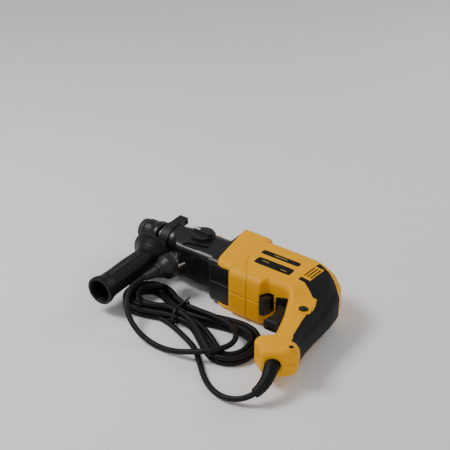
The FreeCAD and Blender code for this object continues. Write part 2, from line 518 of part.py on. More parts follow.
def side_handle_parts():
    x0, x1 = SIDE_X - 7.5, SIDE_X + 7.5
    band = ring_x(x0, x1, NECK_R + 4.6, NECK_R + 0.15)
    boss = rod((SIDE_X, -NECK_R - 2, 0), (SIDE_X, FLANGE_Y + 0.4, 0), 13, 14.5)
    boss = boss.common(box(NECK_FRONT + 0.6, NECK_REAR - 0.5, -60, 0, -20, 20))
    boss = boss.cut(rod((0, 0, 0), (100, 0, 0), NECK_R + 0.15))
    lug = box(x0, x1, 10, 31, 14.5, 25).cut(rod((0, 0, 0), (100, 0, 0), NECK_R + 0.15))
    lug = lug.cut(rod((0, DEPTH_ROD[0], DEPTH_ROD[1]), (100, DEPTH_ROD[0], DEPTH_ROD[1]), DEPTH_ROD_R))
    clamp = fuse([band, boss, lug]).cut(rod((SIDE_X, -NECK_R - 4, 0), (SIDE_X, -90, 0), 4.1))
    bolt = fuse([rod((SIDE_X, -NECK_R - 0.8, 0), (SIDE_X, -NECK_R - 4.8, 0), 6.5),
                 rod((SIDE_X, -NECK_R - 4, 0), (SIDE_X, -92, 0), 4.0)])
    clamp = clamp.cut(rod((SIDE_X, -10, 0), (SIDE_X, -NECK_R - 5, 0), 6.7))
    nut = rod((SIDE_X, -78, 0), (SIDE_X, -90, 0), 8.5).cut(rod((SIDE_X, -60, 0), (SIDE_X, -100, 0), 4.08))
    profile = [(FLANGE_Y, 0), (FLANGE_Y, FLANGE_R - 1), (FLANGE_Y - 1.2, FLANGE_R), (FLANGE_Y - 3.6, FLANGE_R),
               (FLANGE_Y - 7, 27), (FLANGE_Y - 13, 20.5), (FLANGE_Y - 20, SIDE_GRIP_R), (-130, SIDE_GRIP_R),
               (-150, SIDE_GRIP_R + 0.8), (SIDE_END_Y + 4, SIDE_END_R), (SIDE_END_Y, SIDE_END_R),
               (SIDE_END_Y, 16.5), (SIDE_END_Y + 8, 15.0), (SIDE_END_Y + 62, 14.0), (SIDE_END_Y + 62, 0)]
    face = Part.Face(Part.makePolygon([V(SIDE_X + r, y, 0) for y, r in profile + profile[:1]]))
    grip = face.revolve(V(SIDE_X, 0, 0), Y_AXIS, 360)
    grip = grip.cut(rod((SIDE_X, -40, 0), (SIDE_X, -92.4, 0), 4.2)).cut(rod((SIDE_X, -78, 0), (SIDE_X, -90, 0), 8.5))
    return {"clamp_band": clamp, "clamp_bolt": bolt, "clamp_nut": nut, "side_grip": grip}


# ---- cord ---------------------------------------------------------------------------------------
HANK = [(60, -104, 20), (66, -80, 16), (104, -66, 14), (140, -89, 30), (160, -92, 30), (190, -91, 30),
        (240, -80, 30), (272, -86, 26), (290, -118, 26), (288, -160, 26), (256, -173, 24), (200, -148, 30),
        (160, -129, 30), (140, -131, 30), (104, -142, 22), (74, -128, 18)]
BOOT_R = 8.2


def cord_parts():
    lead_out = flex_tube(LEAD_OUT, CORD_R)
    tail = flex_tube(TAIL, CORD_R)
    boot_end = (vec(LEAD_OUT[4]) + vec(LEAD_OUT[5])) * 0.5
    boot = flex_tube(LEAD_OUT[1:5] + [boot_end], BOOT_R).fuse(rod(EXIT - EXIT_AXIS * 12, EXIT, 10.0))
    boot = boot.cut(lead_out)
    hank = plate(HANK, FLOOR + TIE + 0.2, HANK_TOP)
    hank = hank.cut(box(0, HANK_STEP_X, -200, 0, HANK_LOW_TOP, 20))
    tie_x, tie_half = 158.0, 3.0
    waist = hank.common(box(tie_x - tie_half, tie_x + tie_half, -200, 0, -60, 20)).BoundBox
    tie = box(tie_x - tie_half, tie_x + tie_half, waist.YMin - TIE, waist.YMax + TIE,
              waist.ZMin - TIE, waist.ZMax + TIE).cut(hank)
    axis = vec(PLUG_AXIS).normalize()
    side = V(axis.y, -axis.x, 0)
    face = PLUG_AT + axis * 15
    plug = fuse([rod(PLUG_AT - axis * 34, PLUG_AT - axis * 12, 5.6, 8.5),
                 rod(PLUG_AT - axis * 13, PLUG_AT + axis * 4, 9.5, PLUG_R), rod(PLUG_AT + axis * 4, face, PLUG_R)])
    pins = [rod(face - axis * 6 + side * s * PIN_SPACING / 2, face + axis * PIN_LENGTH + side * s * PIN_SPACING / 2,
                PIN_R) for s in (-1, 1)]
    plug = plug.cut(Part.makeCompound(pins))
    return {"cord_boot": biggest(boot), "cord_from_grip": lead_out, "cord_hank": hank,
            "cord_tie": tie, "cord_to_plug": tail, "plug_body": plug,
            "plug_pins": Part.makeCompound(pins)}


CORD_NODES = ("cord_boot", "cord_from_grip", "cord_hank", "cord_tie", "cord_to_plug", "plug_body", "plug_pins")


# ---- assembly -----------------------------------------------------------------------------------
def main():
    parts = {}
    for made in (casing_parts(), {"gear_housing": gear_housing(), "bearing_plate": bearing_plate(),
                                  "flange_screws": flange_screws()},
                 chuck_parts(), drive_parts(), motor_parts(), control_parts(), side_handle_parts(),
                 cord_parts()):
        parts.update(made)
    body = Part.makeCompound([s for n, s in parts.items() if n not in CORD_NODES]).BoundBox
    place = V(-(body.XMin + body.XMax) / 2, -(body.YMin + body.YMax) / 2, -body.ZMin)
    print("origin shift", [round(c, 4) for c in place], "lowest", round(body.ZMin, 3))
    os.makedirs("parts", exist_ok=True)
    for name, shape in sorted(parts.items()):
        if not shape.isValid() or any(s.Volume <= 0 for s in shape.Solids) or not shape.Solids:
            print("check", name, shape.isValid(), len(shape.Solids))
        shape = shape.copy()
        shape.translate(place)
        shape.exportStep("parts/%s.step" % name)
    print(len(parts), "nodes")


main()
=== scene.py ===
import math

import bmesh
import bpy
import numpy as np
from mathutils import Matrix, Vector
from mathutils.bvhtree import BVHTree
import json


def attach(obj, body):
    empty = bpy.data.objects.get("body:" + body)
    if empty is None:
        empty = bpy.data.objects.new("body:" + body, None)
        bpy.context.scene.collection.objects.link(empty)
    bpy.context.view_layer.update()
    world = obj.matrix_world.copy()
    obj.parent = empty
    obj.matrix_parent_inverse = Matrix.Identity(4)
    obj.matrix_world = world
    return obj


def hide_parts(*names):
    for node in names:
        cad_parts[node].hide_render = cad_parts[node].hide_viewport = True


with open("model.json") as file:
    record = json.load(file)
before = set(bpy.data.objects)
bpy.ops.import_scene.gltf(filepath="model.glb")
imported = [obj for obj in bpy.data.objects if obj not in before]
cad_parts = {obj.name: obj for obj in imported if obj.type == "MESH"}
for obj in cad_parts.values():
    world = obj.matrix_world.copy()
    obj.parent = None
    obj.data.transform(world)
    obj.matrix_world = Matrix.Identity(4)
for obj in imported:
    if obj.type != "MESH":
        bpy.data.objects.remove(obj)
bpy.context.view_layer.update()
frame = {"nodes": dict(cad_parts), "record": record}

# ---- view, floor and light ----------------------------------------------------------------------
# The tool lies on its right side on a pale surface. Its own measures are in millimetres from the
# mouth of the tool: x to the rear, y to its top, z out of its left side. mm() turns them into metres.
SHIFT = np.array([-0.1855284, 0.0622481, 0.040])


def mm(points):
    """Points in the tool's millimetres as metres in the row frame."""
    return np.asarray(points, float) / 1000.0 + SHIFT


azimuth, elevation = math.radians(35.5), math.radians(32.0)
back = Vector((math.sin(azimuth) * math.cos(elevation), -math.cos(azimuth) * math.cos(elevation),
               math.sin(elevation)))
camera_data = bpy.data.cameras.new("camera")
camera_data.sensor_width = 36.0
camera_data.lens = 91.68
camera_data.clip_start, camera_data.clip_end = 0.05, 30.0
camera = bpy.data.objects.new("camera", camera_data)
camera.location = mm([969.96, -1142.62, 938.0])
camera.rotation_mode = "QUATERNION"
camera.rotation_quaternion = (-back).to_track_quat("-Z", "Y")
bpy.context.scene.collection.objects.link(camera)
bpy.context.scene.camera = camera


def area_light(name, at, aim, width, power):
    """A square soft light at a place, turned towards a point."""
    data = bpy.data.lights.new(name, "AREA")
    data.size, data.energy = width, power
    lamp = bpy.data.objects.new(name, data)
    lamp.location = at
    lamp.rotation_mode = "QUATERNION"
    lamp.rotation_quaternion = (Vector(aim) - Vector(at)).to_track_quat("-Z", "Y")
    bpy.context.scene.collection.objects.link(lamp)


lit_point = (0, 0, 0.04)
area_light("key", (-0.75, -0.55, 1.35), lit_point, 0.55, 17)
area_light("fill", (1.3, -1.2, 0.8), lit_point, 1.0, 4)
area_light("rim", (0.5, 1.4, 0.9), lit_point, 0.7, 7)
world = bpy.data.worlds.new("studio")
world.use_nodes = True
world.node_tree.nodes["Background"].inputs["Color"].default_value = (1, 1, 1, 1)
world.node_tree.nodes["Background"].inputs["Strength"].default_value = 0.34
bpy.context.scene.world = world


MIX_A, MIX_B, MIXED = 6, 7, 2    # the colour sockets of a Mix node


def link(node_tree, a, b):
    """Joins one node's output to another's input."""
    node_tree.links.new(a, b)


def finish(name, colour, rough, metallic=0.0, grain=900.0, bump=0.12, tint=0.10, wear=None,
           stretch=(1, 1, 1), coat=0.0, height=0.0002, specular=0.5):
    """Moulded or machined surface: fine grain as bump, broad noise for tint and roughness, and a
    worn colour where the surface is convex."""
    made = bpy.data.materials.new(name)
    made.use_nodes = True
    tree = made.node_tree
    shader = tree.nodes["Principled BSDF"]
    shader.inputs["Metallic"].default_value = metallic
    shader.inputs["Coat Weight"].default_value = coat
    shader.inputs["Specular IOR Level"].default_value = specular
    where = tree.nodes.new("ShaderNodeTexCoord").outputs["Object"]
    turn = tree.nodes.new("ShaderNodeMapping")
    turn.inputs["Scale"].default_value = stretch
    link(tree, where, turn.inputs["Vector"])
    fine, broad = tree.nodes.new("ShaderNodeTexNoise"), tree.nodes.new("ShaderNodeTexNoise")
    fine.inputs["Scale"].default_value, fine.inputs["Detail"].default_value = grain, 3
    broad.inputs["Scale"].default_value, broad.inputs["Detail"].default_value = 28.0, 7
    broad.inputs["Roughness"].default_value = 0.65
    link(tree, turn.outputs[0], fine.inputs["Vector"])
    link(tree, turn.outputs[0], broad.inputs["Vector"])
    relief = tree.nodes.new("ShaderNodeBump")
    relief.inputs["Strength"].default_value = bump
    relief.inputs["Distance"].default_value = height
    link(tree, fine.outputs["Fac"], relief.inputs["Height"])
    link(tree, relief.outputs["Normal"], shader.inputs["Normal"])
    shades = tree.nodes.new("ShaderNodeMix")
    shades.data_type = "RGBA"
    shades.inputs[MIX_A].default_value = [*(c * (1 - tint) for c in colour), 1]
    shades.inputs[MIX_B].default_value = [*(min(1, c * (1 + tint)) for c in colour), 1]
    link(tree, broad.outputs["Fac"], shades.inputs[0])
    gloss = tree.nodes.new("ShaderNodeMapRange")
    gloss.inputs["From Min"].default_value, gloss.inputs["From Max"].default_value = 0.3, 0.7
    gloss.inputs["To Min"].default_value = max(0.03, rough - 0.07)
    gloss.inputs["To Max"].default_value = min(1.0, rough + 0.08)
    link(tree, broad.outputs["Fac"], gloss.inputs["Value"])
    link(tree, gloss.outputs["Result"], shader.inputs["Roughness"])
    out = shades.outputs[MIXED]
    if wear:
        edge = tree.nodes.new("ShaderNodeMapRange")
        edge.inputs["From Min"].default_value, edge.inputs["From Max"].default_value = 0.53, 0.60
        link(tree, tree.nodes.new("ShaderNodeNewGeometry").outputs["Pointiness"], edge.inputs["Value"])
        patchy = tree.nodes.new("ShaderNodeMath")
        patchy.operation = "MULTIPLY"
        link(tree, edge.outputs["Result"], patchy.inputs[0])
        link(tree, broad.outputs["Fac"], patchy.inputs[1])
        worn = tree.nodes.new("ShaderNodeMix")
        worn.data_type = "RGBA"
        worn.inputs[MIX_B].default_value = [*wear, 1]
        link(tree, patchy.outputs[0], worn.inputs[0])
        link(tree, out, worn.inputs[MIX_A])
        out = worn.outputs[MIXED]
    link(tree, out, shader.inputs["Base Color"])
    return made


def grid_quads(nu, nv, wrap_u=False, wrap_v=False):
    """The four corners of every cell of an nu by nv grid, as indices of its points; a wrapped
    direction joins its last line to its first."""
    last_u, last_v = nu if wrap_u else nu - 1, nv if wrap_v else nv - 1
    a, b = np.meshgrid(np.arange(last_u), np.arange(last_v), indexing="ij")
    c, d = (a + 1) % nu, (b + 1) % nv
    return np.stack([a * nv + b, c * nv + b, c * nv + d, a * nv + d], -1).reshape(-1, 4)


def new_piece(name, points, quads, material, fill=False, outwards=False):
    """Smooth mesh object of points in the tool's millimetres. Doubles at poles and seams are merged;
    open ends are filled and faces turned outwards where asked."""
    data = bpy.data.meshes.new(name)
    data.from_pydata(mm(points).tolist(), [], quads.tolist())
    work = bmesh.new()
    work.from_mesh(data)
    bmesh.ops.remove_doubles(work, verts=work.verts, dist=2e-6)
    bmesh.ops.dissolve_degenerate(work, edges=work.edges, dist=1e-7)
    if fill:
        bmesh.ops.holes_fill(work, edges=[e for e in work.edges if e.is_boundary], sides=0)
    if outwards:
        bmesh.ops.recalc_face_normals(work, faces=work.faces)
    work.to_mesh(data)
    work.free()
    data.polygons.foreach_set("use_smooth", [True] * len(data.polygons))
    data.materials.append(material)
    made = bpy.data.objects.new(name, data)
    bpy.context.scene.collection.objects.link(made)
    return made


def grid(name, points, material, wrap_u=False, wrap_v=False, fill=False, closed=True):
    """Surface over a two-parameter grid of points; a closed one has its faces turned outwards."""
    nu, nv = points.shape[:2]
    quads = grid_quads(nu, nv, wrap_u, wrap_v)
    return new_piece(name, points.reshape(-1, 3), quads, material, fill, closed)


def show(made, body, *stands_for, slot=None):
    """The piece rides on a body and stands for CAD nodes."""
    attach(made, body)
    if stands_for:
        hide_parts(*stands_for)
    return made


floor_finish = finish("floor_paint", (0.92, 0.92, 0.92), 0.75, grain=300, bump=0.03, tint=0.01)
u, v = np.meshgrid(np.linspace(-2500, 2900, 3), np.linspace(-2700, 2700, 3), indexing="ij")
floor = grid("floor", np.stack([u, v, u * 0 - 40.15], -1), floor_finish, closed=False)

# ---- power cord ---------------------------------------------------------------------------------
# Round black rubber lead of 8 mm. It leaves the grip through the boot, is wound five times into a
# flat hank that a twist tie holds at its waist, and comes back past the hank to the moulded plug.
LEAD = [(329.8, -130.8, 0), (336.4, -143.2, 0.5), (343.6, -156.4, 0), (349.5, -172, -2.5), (352, -187, -11),
        (346, -203, -22), (330, -215, -30.5), (308, -219, -35), (284, -213, -36), (262, -199, -36),
        (244, -182, -36), (227, -166.5, -35.5), (210, -153, -34.8)]
TAIL = [(246, -167.5, -20), (226, -176.5, -25), (204, -181, -32), (180, -183, -36), (156, -182.5, -34.5),
        (135, -180.5, -28), (117, -175, -18.5), (102, -164.5, -8), (92.5, -149, 1), (90.4, -131, 7),
        (94.85, -113.5, 9)]
TURN = [(140, -126.5), (117, -135.5), (94, -141), (77.5, -136.6), (65.4, -124.5), (61, -108), (65.4, -91.5),
        (77.5, -79.4), (94, -75), (112, -79.5), (140, -93), (158, -98.5), (180, -97.5), (205, -91),
        (230, -84), (253, -82), (270.5, -87), (283, -99.5), (288, -117), (287.5, -136), (280, -151),
        (266, -161), (249, -162.5), (230, -153), (207, -139), (184, -127), (158, -123.5)]
LAST = [(140, -119), (124, -127), (109, -132.5), (96.8, -129.2), (87.8, -120.3), (84.5, -108), (87.8, -95.8),
        (96.8, -86.8), (109, -83.5), (124, -88), (140, -97.5), (158, -102.5), (181, -102.5), (206, -100.5),
        (229, -101), (247, -107), (259.5, -119), (265, -136), (260, -153)]
WAIST_LANE, LAYERS = 9.0, (-36.0, -27.5, -18.8)


def hank():
    """Control points of the hank. Each of the first four turns runs along TURN, moved inwards by its
    lane at six places round it, at its layer's height; it changes lane and layer on the lower
    right edge. The fifth turn lies on top, along LAST."""
    ring = np.array(TURN, float)
    along = np.roll(ring, -1, 0) - np.roll(ring, 1, 0)
    inward = np.stack([along[:, 1], -along[:, 0]], -1) / np.linalg.norm(along, axis=1)[:, None]
    side = WAIST_LANE
    turns = [((0, 0, 0, 0, 0, side), (0, 0)), ((side, side, side, 12, 18, side), (0, 1)),
             ((side, side, side, 9, 9, 0), (1, 1)), ((0, 0, 0, 0, 0, 4), (1, 2))]
    route = []
    count = len(ring)
    for lanes, (low, high) in turns:
        share = np.arange(count) / (count - 1)
        lane = np.interp(share, (0.0, 0.2, 0.5, 0.72, 0.9, 1.0), lanes)
        height = np.interp(share, (0.86, 0.93), (LAYERS[low], LAYERS[high]))
        plan = ring + inward * lane[:, None]
        route += [(x, y, z) for (x, y), z in zip(plan, height)]
    return route + [(x, y, LAYERS[2]) for x, y in LAST]


cord_route = LEAD + hank() + TAIL
curve = bpy.data.curves.new("power_cord", "CURVE")
curve.dimensions = "3D"
line = curve.splines.new("NURBS")
line.points.add(len(cord_route) - 1)
line.points.foreach_set("co", np.hstack([mm(cord_route), np.ones((len(cord_route), 1))]).ravel())
line.order_u = 3
line.use_endpoint_u = True
line.resolution_u = 6
curve.bevel_depth = 0.004
curve.bevel_resolution = 5
curve.use_fill_caps = True
power_cord = bpy.data.objects.new("power_cord", curve)
bpy.context.scene.collection.objects.link(power_cord)
cord_rubber = finish("cord_rubber", (0.006, 0.006, 0.0065), 0.52, grain=700, bump=0.2, tint=0.25,
                     wear=(0.02, 0.02, 0.02), specular=0.22)
curve.materials.append(cord_rubber)
show(power_cord, "housing", "cord_from_grip", "cord_hank", "cord_to_plug", slot="cord_rubber")

# ---- cord boot, plug and tie ----------------------------------------------------------------------
# Moulded rubber: a fat tapered boot at the grip, and the round plug with a ribbed relief and two
# bright pins. A thin plastic-coated wire is twisted round the hank's waist.


def revolve(name, profile, middle, axis, material, turns=64):
    """Surface of revolution: each (along, radius) point of the profile goes that far along the axis
    and then round it."""
    axis = np.array(axis, float) / np.linalg.norm(axis)
    first = np.cross(axis, [0, 0, 1.0] if abs(axis[2]) < 0.9 else [1.0, 0, 0])
    first /= np.linalg.norm(first)
    second = np.cross(axis, first)
    phi = np.linspace(0, 2 * math.pi, turns + 1)[:-1]
    ring = np.cos(phi)[:, None] * first + np.sin(phi)[:, None] * second
    profile = np.array(profile, float)
    points = np.array(middle, float) + profile[:, None, :1] * axis + profile[:, None, 1:] * ring
    return grid(name, points, material, wrap_v=True)


def rounded(profile, rounding, steps=5):
    """Open profile with each inner corner replaced by the parabola that leaves both its sides at
    the given cut-back, or at 0.45 of a short side."""
    pts = [np.array(p, float) for p in profile]
    out = [pts[0]]
    for p, q, r in zip(pts[:-2], pts[1:-1], pts[2:]):
        back, ahead = np.linalg.norm(p - q), np.linalg.norm(r - q)
        cut = min(rounding, 0.45 * back, 0.45 * ahead)
        a, b = q + (p - q) / back * cut, q + (r - q) / ahead * cut
        for t in np.linspace(0, 1, steps):
            out.append((1 - t) ** 2 * a + 2 * t * (1 - t) * q + t * t * b)
    return out + [pts[-1]]


def spline(points, steps):
    """Quadratic B-spline, the cord's own kind: a parabola from the middle of each run between the
    points to the middle of the next. It starts and ends at the middle of the outer runs."""
    pts = np.array(points, float)
    ends = (pts[:-1] + pts[1:]) / 2
    t = np.linspace(0, 1, steps, endpoint=False)[:, None]
    runs = [(1 - t) ** 2 * a + 2 * t * (1 - t) * q + t * t * b
            for a, q, b in zip(ends[:-1], pts[1:-1], ends[1:])]
    return np.concatenate(runs + [ends[-1:]])


def tube(name, path, radius, material, turns=40):
    """Circles of the given radii square to the path, each turned as little as possible from the
    last, with a pole at both ends."""
    path, radius = np.array(path, float), np.array(radius, float)
    heading = np.gradient(path, axis=0)
    heading /= np.linalg.norm(heading, axis=1)[:, None]
    first = np.zeros_like(path)
    guess = np.array([0, 0, 1.0]) if abs(heading[0][2]) < 0.9 else np.array([1.0, 0, 0])
    for k, h in enumerate(heading):
        guess = guess - h * (guess @ h)
        guess /= np.linalg.norm(guess)
        first[k] = guess
    second = np.cross(heading, first)
    phi = np.linspace(0, 2 * math.pi, turns + 1)[:-1]
    ring = np.cos(phi)[None, :, None] * first[:, None] + np.sin(phi)[None, :, None] * second[:, None]
    points = path[:, None] + ring * radius[:, None, None]
    poles = [np.broadcast_to(path[k], points[0].shape)[None] for k in (0, -1)]
    return grid(name, np.concatenate([poles[0], points, poles[1]]), material, wrap_v=True)


BOOT_LENGTH, RIB_PITCH, RIB_DEPTH = 62, 5.2, 0.5
boot_path = spline(LEAD[1:7], 14)
along_boot = np.r_[0, np.cumsum(np.linalg.norm(np.diff(boot_path, axis=0), axis=1))]
boot_path = boot_path[along_boot < BOOT_LENGTH]
along_boot = along_boot[along_boot < BOOT_LENGTH]
boot_radius = np.interp(along_boot, [0, 16, 26, 44, 60, 62], [10.1, 10.1, 9.4, 8.3, 6.8, 5.6])
ribs = (0.5 + 0.5 * np.cos(along_boot * 2 * math.pi / RIB_PITCH)) ** 3
boot_radius -= RIB_DEPTH * ribs * (along_boot > 27) * (along_boot < 56)
on_cord = [show(tube("cord_boot_skin", boot_path, boot_radius, cord_rubber), "housing", "cord_boot",
                slot="cord_rubber")]

plug_plastic = finish("plug_plastic", (0.009, 0.009, 0.0095), 0.42, grain=1500, bump=0.16, tint=0.2,
                      wear=(0.035, 0.035, 0.035), specular=0.4)
nickel = finish("nickel_pins", (0.78, 0.76, 0.72), 0.16, metallic=1.0, grain=700, bump=0.03)
plug_at, plug_axis = np.array([103, -80.5, 9.0]), np.array([0.24, 0.97, 0]) / math.hypot(0.24, 0.97)
relief = []
for k in range(7):
    start, r0 = -34 + k * 3.1, 5.5 + k * 0.45
    relief += [(start, r0), (start + 1.9, r0 + 0.1), (start + 2.0, r0 - 1.1), (start + 3.0, r0 - 1.1)]
plug_profile = [(-34.4, 0), (-34.4, 5.2)] + relief + rounded(
    [(-12.3, 8.6), (-11, 10.4), (-4, 12.6), (3, 17.8), (5, 18.5), (14.2, 18.5), (15, 17.8), (15, 0)], 1.2)
on_cord.append(show(revolve("plug_skin", plug_profile, plug_at, plug_axis, plug_plastic, 72), "housing",
                    "plug_body", slot="plug_plastic"))
plug_side = np.array([plug_axis[1], -plug_axis[0], 0])
for k in (-1, 1):
    pin = rounded([(9, 0), (9, 2.4), (24, 2.4), (32.6, 2.35), (34, 1.2), (34, 0)], 0.8)
    pin_name = "plug_pin_" + ("a" if k < 0 else "b")
    plug_pin = revolve(pin_name, pin, plug_at + plug_side * k * 9.5, plug_axis, nickel, 32)
    on_cord.append(show(plug_pin, "housing", "plug_pins", slot="nickel_pins"))



def superellipse(phi, half_length, half_width, exponent):
    """Squared-off oval: the half sides times cosine and sine, each raised to the exponent with its
    sign kept."""
    return (half_length * np.sign(np.cos(phi)) * np.abs(np.cos(phi)) ** exponent,
            half_width * np.sign(np.sin(phi)) * np.abs(np.sin(phi)) ** exponent)


# the wire goes twice round the waist, moving along the hank by TIE_CREEP per radian
TIE_AT, TIE_CREEP = (156.4, -111.5, -26.1), 0.28
tie_wire = finish("tie_wire", (0.012, 0.012, 0.012), 0.35, grain=600, bump=0.1, tint=0.2)
turn = np.linspace(0, 2 * math.pi * 2, 160)
wide, high = superellipse(turn, 19.6, 13.0, 0.7)
tie_path = np.stack([TIE_AT[0] + turn * TIE_CREEP, TIE_AT[1] + wide, TIE_AT[2] + high], -1)
tie = tube("cord_tie_wire", tie_path, np.full(len(tie_path), 0.9), tie_wire, 14)
on_cord.append(show(tie, "housing", "cord_tie", slot="tie_wire"))
twist = np.linspace(0, 1, 90)
for k in (0, 1):
    swing = twist * 2 * math.pi * 3.5 + k * math.pi
    tail = np.stack([158.5 + 1.0 * np.cos(swing) + twist * 5, -107 + 1.0 * np.sin(swing) + twist * 9,
                     -12.2 + twist * 5.5 + 0.2 * np.cos(swing)], -1)
    end = tube("cord_tie_twist_%d" % k, tail, np.full(len(tail), 0.85), tie_wire, 12)
    on_cord.append(show(end, "housing", slot="tie_wire"))

# ---- casing halves --------------------------------------------------------------------------------
# Two hollow halves of yellow moulded plastic that meet on the middle plane, with a 0.3 mm line
# between them. The raised collar clamps the gear housing; the tail runs down into the grip.
yellow = finish("yellow_shell", (0.92, 0.41, 0.0), 0.46, grain=2600, bump=0.16, tint=0.05, specular=0.16,
                wear=(0.95, 0.50, 0.01))
WALL, PARTING = 3.0, 0.15
SIDES = ((1, "left"), (-1, "right"))
# each row: top or rear edge (x, y), bottom or front edge (x, y), half width, rounding at both edges
CASING = [(201, 38, 201, -56, 38, 14, 9), (204.5, 38, 204.5, -56, 38, 14, 9), (206, 38, 206, -61, 38, 14, 9),
          (210, 38, 210, -62, 38, 14, 9),
          (255, 38, 257.5, -62, 38, 14, 9), (261, 38, 264, -50, 38, 14, 9), (288, 38, 291, -48, 38, 15, 9),
          (306, 36.4, 297, -49, 37.6, 17, 10), (327, 29, 299.5, -52.5, 36.5, 20, 12),
          (343, 16, 301.5, -57, 33.5, 21, 13), (352, -5, 303.5, -63, 29, 20, 13),
          (356.5, -30, 306, -71, 24.5, 17, 12), (358.5, -58, 309.5, -81, 21, 14, 11),
          (360, -85, 315, -98, 19.2, 13, 11), (361.5, -107, 320, -114, 18.8, 13, 11),
          (364.5, -124, 322, -127, 19.5, 13, 11), (368.8, -134, 315.5, -135.5, 21.5, 12, 10),
          (370.4, -141, 309.5, -143, 22.5, 10, 10), (366.5, -148, 310, -152, 22.5, 9, 9),
          (361.5, -153.5, 331.5, -168, 19.5, 8, 8)]
COLLAR = [(164, 42.6, 178.6, -50, 38.4, 12, 7), (164.6, 43.8, 179.2, -51.6, 39.6, 13, 8),
          (166.5, 44, 181.5, -54.5, 40, 13, 8), (176, 44, 189, -57, 40, 13, 8), (200, 44, 200, -57, 40, 13, 8),
          (205, 44, 205, -57, 40, 13, 8), (205.8, 43, 205.8, -56.2, 39.1, 13, 8),
          (206.6, 43, 206.6, -56.2, 39.1, 13, 8), (207.2, 43.6, 207.2, -56.6, 39.7, 13, 8),
          (210, 43.4, 210, -56.4, 39.5, 13, 8), (212.6, 38.2, 212.6, -53, 38.1, 13, 8)]


def stations(rows, step, soften):
    """The rows' values at even stations, with the corners between rows rounded by a running mean."""
    table = np.array(rows, float)
    top_moves, low_moves = (np.hypot(*np.diff(table[:, c:c + 2], axis=0).T) for c in (0, 2))
    moves = np.maximum(top_moves, low_moves)
    knots = np.r_[0, np.cumsum(moves)]
    at = np.linspace(0, knots[-1], int(knots[-1] / step) + 1)
    values = np.stack([np.interp(at, knots, column) for column in table.T], -1)
    for _ in range(soften):
        values[1:-1] = (values[:-2] + 2 * values[1:-1] + values[2:]) / 4
    return values


def sections(values, side, edge_z=(15.0, 9.3), crown=0.7):
    """Half sections of a shell on one side of the middle plane: flat top, arc, crowned flank, arc and
    flat bottom; grid lines of the bottom lie at the heights edge_z, where openings end."""
    top, low, half, r_top, r_low = values[:, 0:2], values[:, 2:4], values[:, 4], values[:, 5], values[:, 6]
    span = np.linalg.norm(top - low, axis=1) / 2
    middle, up = (top + low) / 2, (top - low) / (2 * span[:, None])
    turn = np.linspace(0, math.pi / 2, 9)[1:]
    share = np.linspace(0, 1, 7)
    rows_v, rows_z = [], []
    for k in share:
        z = PARTING + (half - r_top - PARTING) * k
        rows_v.append(span + crown * (1 - k * k))
        rows_z.append(z)
    for a in turn:
        rows_v.append(span - r_top + r_top * math.cos(a))
        rows_z.append(half - r_top + r_top * math.sin(a))
    flank_low, flank_high = -(span - r_low), span - r_top
    for k in np.linspace(0, 1, 25)[1:]:
        rows_v.append(flank_high + (flank_low - flank_high) * k)
        rows_z.append(half + crown * (1 - (2 * k - 1) ** 2))
    for a in turn[::-1] - turn[0]:
        rows_v.append(-span + r_low - r_low * math.cos(a))
        rows_z.append(half - r_low + r_low * math.sin(a))
    low_edge = np.minimum(half - r_low, 15.5)
    steps = [half - r_low + (low_edge - half + r_low) * k for k in (0.25, 0.5, 0.75, 1)]
    steps += [np.minimum(low_edge - 0.3, edge_z[0]), np.minimum(low_edge - 0.6, 12.0)]
    steps += [np.minimum(low_edge - 1, edge_z[1]) - (np.minimum(low_edge - 1, edge_z[1]) - PARTING) * k
              for k in (0, 0.25, 0.5, 0.75, 1)]
    for z in steps:
        rows_v.append(-span)
        rows_z.append(z)
    v, z = np.stack(rows_v, 1), np.stack(rows_z, 1)
    plan = middle[:, None] + up[:, None] * v[..., None]
    return np.concatenate([plan, side * z[..., None]], -1)


FLANK = slice(15, 39)    # the grid lines of sections() on the flank


def shell_piece(name, points, thickness, material, side, keep=None):
    """Open grid, with only the faces whose middle keep() accepts, given a wall on its inner side."""
    nu, nv = points.shape[:2]
    quads = grid_quads(nu, nv)
    flat = points.reshape(-1, 3)
    if keep:
        quads = quads[keep(flat[quads].mean(1))]
    if side > 0:
        quads = quads[:, ::-1]
    used, inverse = np.unique(quads, return_inverse=True)
    made = new_piece(name, flat[used], inverse.reshape(-1, 4), material)
    wall = made.modifiers.new("wall", "SOLIDIFY")
    wall.thickness, wall.offset = thickness / 1000, -1
    return made


def casing_open(middle):
    """Faces that stay: not those at the trigger, lever, vents, lock-on button and base screw."""
    x, y, z = middle[:, 0], middle[:, 1], np.abs(middle[:, 2])
    trigger = (z < 9.3) & (y < -55.2) & (y > -99.5) & (x < 318.5) & (x > 296)
    button = (np.hypot((x - 330.8) / 7.6, (y + 64.3) / 6.0) < 1) & (middle[:, 2] > 10)
    lever = (z < 15) & (y < -48) & (x > 256.5) & (x < 273)
    vents = (z > 30) & (x > 299.5) & (x < 312.5) & (y > -18.5) & (y < 12.5)
    screw = (np.hypot(x - 361, y + 141.5) < 3.8) & (middle[:, 2] > 10)
    return ~(trigger | lever | vents | button | screw)


def collar_open(middle):
    """The collar has no floor of its own in front of the casing: the black skirt closes it."""
    return ~((np.abs(middle[:, 2]) < 30.5) & (middle[:, 1] < -40) & (middle[:, 0] < 203.6))


